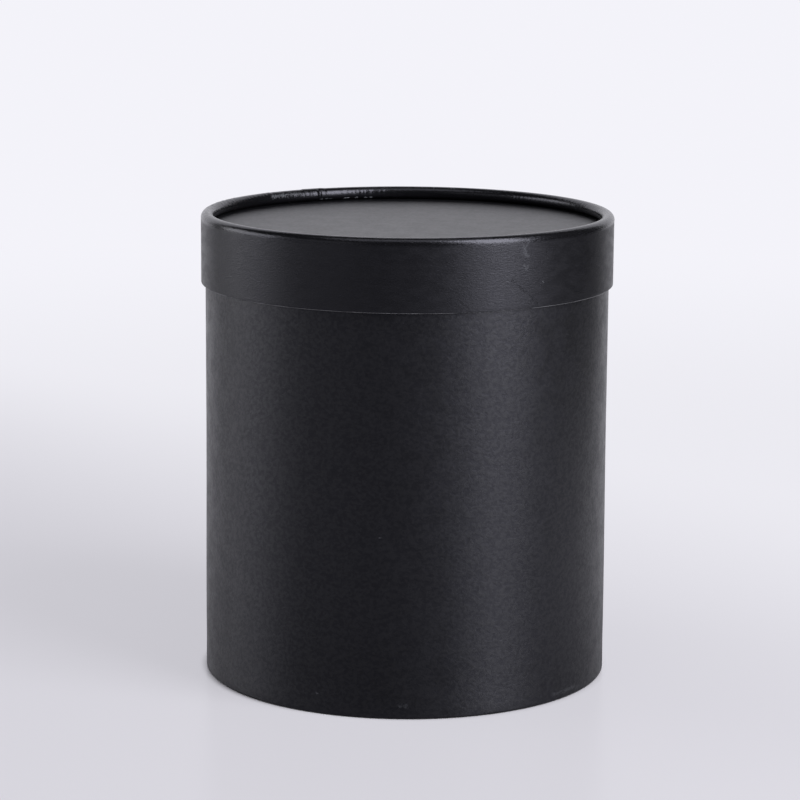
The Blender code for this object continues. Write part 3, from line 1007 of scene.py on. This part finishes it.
# Stretches where the pale lower edge, wear and painted highlight, is left dark, where the wall's own
# highlight lies.
lid_edge_left_dark = [
    mark(on_wall, (LID_RADIUS, -57.0, LID_BOTTOM), (LID_RADIUS, -48.0, LID_BOTTOM), 3, 1.0),
    mark(on_wall, (LID_RADIUS, 14.0, LID_BOTTOM), (LID_RADIUS, 34.0, LID_BOTTOM), 4, 0.75),
]
box_scuffs = [
    mark(on_box, (-24.9, 8.9), (-24.5, 8.9), 0.6, 0.10),
    mark(on_box, (-7.0, 78.2), (-6.6, 78.2), 0.5, 0.10),
    mark(on_box, (-1.0, 5.9), (0.6, 5.9), 1.4, 0.035),
    mark(on_box, (46.0, 3.4), (56.0, 3.4), 1.3, 0.035),
    mark(on_box, (57.0, 2.6), (70.0, 2.6), 1.3, 0.022),
]
top_scuffs = [
    mark(on_top, (53.1, -4.5), (53.4, -4.2), 0.7, 0.08),
    mark(on_top, (-36, 50), (-34.5, 42), 0.35, 0.08),
]
print("marks:", len(lid_scuffs_and_glints + lid_dents), "on the lid and", len(box_scuffs), "on the box")

# %% [markdown]
# ## Black covering paper
# The paper is nearly black all through; what the eye sees is its soft gloss. So the base colour is very dark
# and hardly varies, and the roughness and the height of the grain carry the look. The gloss is a little
# bluish, as on dyed black paper. The box's sheet has a dull, felt-like tooth under a thin sheen; that is the
# shader's coat, made uneven by the mottle. The lid's sheet is smoother, with a mottle drawn out sideways, and
# its bead is burnished by the rolling tool. The top sheet has the finest grain. The fold at the lid's lower
# edge is painted pale: partly wear from handling, partly a painted highlight of the bright table mirrored in
# the rounded fold; it is left dark on the listed stretches, where the wall's own highlight lies. The marks,
# painted glints among them, go over the colour and the dents into the height.

# %% Covering paper
COAT_IOR = 1.5
DARKEST = 0.86
LIGHTEST = 1.16
BURNISHED = 0.22
BURNISH_BELOW = 1.5 * MM
BURNISH_ABOVE = 0.5 * MM
# The pale lower fold of the lid: partly wear, partly a painted highlight of the bright table in the rounded
# fold.
WORN_AND_HIGHLIGHT = (0.12, 0.12, 0.127, 1)
# The colour of scuffs, and of the painted glints and pale dots on the bead.
SCUFFED_AND_GLINT = (0.48, 0.50, 0.56, 1)
DUSTY = (0.22, 0.22, 0.23, 1)
DENT_DEPTH = 0.09 * MM


def all_marks(tree, marks):
    """The strongest of several marks, each given by its two ends, its width and its strength."""
    strongest = 0.0
    for start, end, width, strength in marks:
        values = {"From": start, "To": end, "Width": width}
        mark = add_node(tree, "ShaderNodeGroup", values, node_tree=mark_group).outputs["Mark"]
        strongest = maths(tree, "MAXIMUM", maths(tree, "MULTIPLY", mark, strength), strongest)
    return strongest


def paper_paint(tree, colour, mottle, wear_and_highlight, edge_left_dark, scuffs_and_glints):
    """Base colour of a paper: mottle, a pale edge of wear and painted highlight, scuffs, painted glints and
    dust.
    """
    dark = tuple(DARKEST * part for part in colour) + (1,)
    light = tuple(LIGHTEST * part for part in colour) + (1,)
    paint = blend(tree, mottle, dark, light)
    # Pale fold edge: partly wear, partly painted highlight; left dark on the listed stretches.
    if wear_and_highlight:
        edge = add_node(tree, "ShaderNodeGroup", wear_and_highlight, node_tree=edge_wear_and_highlight).outputs["Wear"]
        kept_dark = maths(tree, "SUBTRACT", 1.0, all_marks(tree, edge_left_dark))
        paint = blend(tree, maths(tree, "MULTIPLY", edge, kept_dark), paint, WORN_AND_HIGHLIGHT)
    # Scuffs, painted glints and pale dots.
    if scuffs_and_glints:
        paint = blend(tree, all_marks(tree, scuffs_and_glints), paint, SCUFFED_AND_GLINT)
    specks = add_node(tree, "ShaderNodeGroup", node_tree=dust_specks).outputs["Specks"]
    return blend(tree, specks, paint, DUSTY)


def paper_look(name, colour, roughness, grain, ior=1.30, tint=0.72, coat=0.3, uneven=0.08, patchy=0.03,
               wear_and_highlight=None, edge_left_dark=(), burnish=None, scuffs_and_glints=(), dents=()):
    """A material of covering paper: grain is the paper grain group's values, and the edge group's values
    paint a pale edge of wear and highlight.
    """
    material, tree, shader = new_look(name)
    shader.inputs["IOR"].default_value = ior
    shader.inputs["Specular Tint"].default_value = (tint, tint, 1, 1)
    shader.inputs["Coat IOR"].default_value = COAT_IOR
    shader.inputs["Coat Roughness"].default_value = roughness
    surface = add_node(tree, "ShaderNodeGroup", grain, node_tree=paper_grain).outputs
    paint = paper_paint(tree, colour, surface["Mottle"], wear_and_highlight, edge_left_dark, scuffs_and_glints)
    tree.links.new(paint, shader.inputs["Base Color"])
    if coat:
        sheen = ease(tree, surface["Mottle"], 0.0, 1.0, coat - uneven, coat + uneven)
        tree.links.new(sheen, shader.inputs["Coat Weight"])
    dullness = ease(tree, surface["Cloud"], 0.0, 1.0, roughness - patchy, roughness + patchy)
    if burnish:
        up = parts_of(tree, object_place(tree))["Z"]
        rubbed = ease(tree, up, burnish - BURNISH_BELOW, burnish + BURNISH_ABOVE)
        ends = {"Factor": rubbed, "A": dullness, "B": BURNISHED}
        dullness = add_node(tree, "ShaderNodeMix", ends).outputs["Result"]
    tree.links.new(dullness, shader.inputs["Roughness"])
    height = surface["Height"]
    if dents:
        height = maths(tree, "MULTIPLY_ADD", all_marks(tree, dents), -DENT_DEPTH, height)
    bump = add_node(tree, "ShaderNodeBump", {"Strength": 1.0, "Distance": 1.0, "Height": height})
    tree.links.new(bump.outputs["Normal"], shader.inputs["Normal"])
    return material


box_grain = {"Tooth Height": 0.015 * MM, "Mottle Size": 1.9 * MM, "Mottle Height": 0.155 * MM, "Stretch": 1.2}
lid_grain = {"Tooth Height": 0.008 * MM, "Mottle Size": 1.5 * MM, "Mottle Height": 0.095 * MM, "Stretch": 2.6}
top_grain = {"Tooth Height": 0.003 * MM, "Mottle Height": 0.004 * MM}
lining_grain = {"Tooth Height": 0.008 * MM, "Mottle Height": 0.012 * MM}
box_paper = paper_look("box_covering_paper", (0.0032, 0.0032, 0.0038), 0.43, box_grain, ior=1.39, tint=0.75,
                       coat=0.4, uneven=0.13, patchy=0.04, scuffs_and_glints=box_scuffs)
lid_paper = paper_look("lid_covering_paper", (0.0038, 0.0038, 0.0046), 0.40, lid_grain, ior=1.48, tint=0.84,
                       coat=0, wear_and_highlight={"Edge Height": LID_BOTTOM, "Reach": 0.3 * MM}, edge_left_dark=lid_edge_left_dark,
                       burnish=BEAD_CENTRE_HEIGHT, scuffs_and_glints=lid_scuffs_and_glints, dents=lid_dents)
top_paper = paper_look("lid_top_paper", (0.003, 0.003, 0.0037), 0.42, top_grain, coat=0.42, patchy=0.013,
                       scuffs_and_glints=top_scuffs)
lining_paper = paper_look("lining_paper", (0.016, 0.016, 0.017), 0.6, lining_grain, coat=0)
for piece, look in ((box_covering, box_paper), (base_sheet, box_paper), (lid_covering, lid_paper),
                    (lid_top_sheet, top_paper), (lid_under_sheet, lining_paper), (floor_sheet, lining_paper),
                    (box_lining, lining_paper)):
    piece.data.materials.append(look)
print("papers:", [look.name for look in (box_paper, lid_paper, top_paper, lining_paper)])

# %% [markdown]
# ## Grey board
# The board is wound from plies of recycled paper. Its face is dull and fibrous, and a cut edge shows the
# plies as fine rings. The rings follow the distance from the axis.

# %% Board
BOARD_ROUGHNESS = 0.9
BOARD_DARK = (0.25, 0.215, 0.175, 1)
BOARD_LIGHT = (0.36, 0.32, 0.265, 1)
PLY_DARK = (0.19, 0.16, 0.125, 1)
PLY = 0.3 * MM
PLY_STRENGTH = 0.45
BOARD_MOTTLE = 1.1 * MM

board_look, tree, shader = new_look("grey_board")
shader.inputs["Roughness"].default_value = BOARD_ROUGHNESS
radius = axis_distance(tree, parts_of(tree, object_place(tree)))
surface = add_node(tree, "ShaderNodeGroup", {"Mottle Size": BOARD_MOTTLE}, node_tree=paper_grain).outputs
plies = maths(tree, "SINE", maths(tree, "MULTIPLY", radius, math.tau / PLY))
ply_share = ease(tree, plies, -1.0, 1.0, 0.0, PLY_STRENGTH)
tone = blend(tree, surface["Mottle"], BOARD_DARK, BOARD_LIGHT)
tree.links.new(blend(tree, ply_share, tone, PLY_DARK), shader.inputs["Base Color"])
bump = add_node(tree, "ShaderNodeBump", {"Strength": 1.0, "Distance": 1.0, "Height": surface["Height"]})
tree.links.new(bump.outputs["Normal"], shader.inputs["Normal"])
for piece in (box_board, lid_board):
    piece.data.materials.append(board_look)
for name in ("base_disc", "lid_disc"):
    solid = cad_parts[name].data
    solid.materials.clear()
    solid.materials.append(board_look)
print("board on", box_board.name, lid_board.name, "and the two discs")
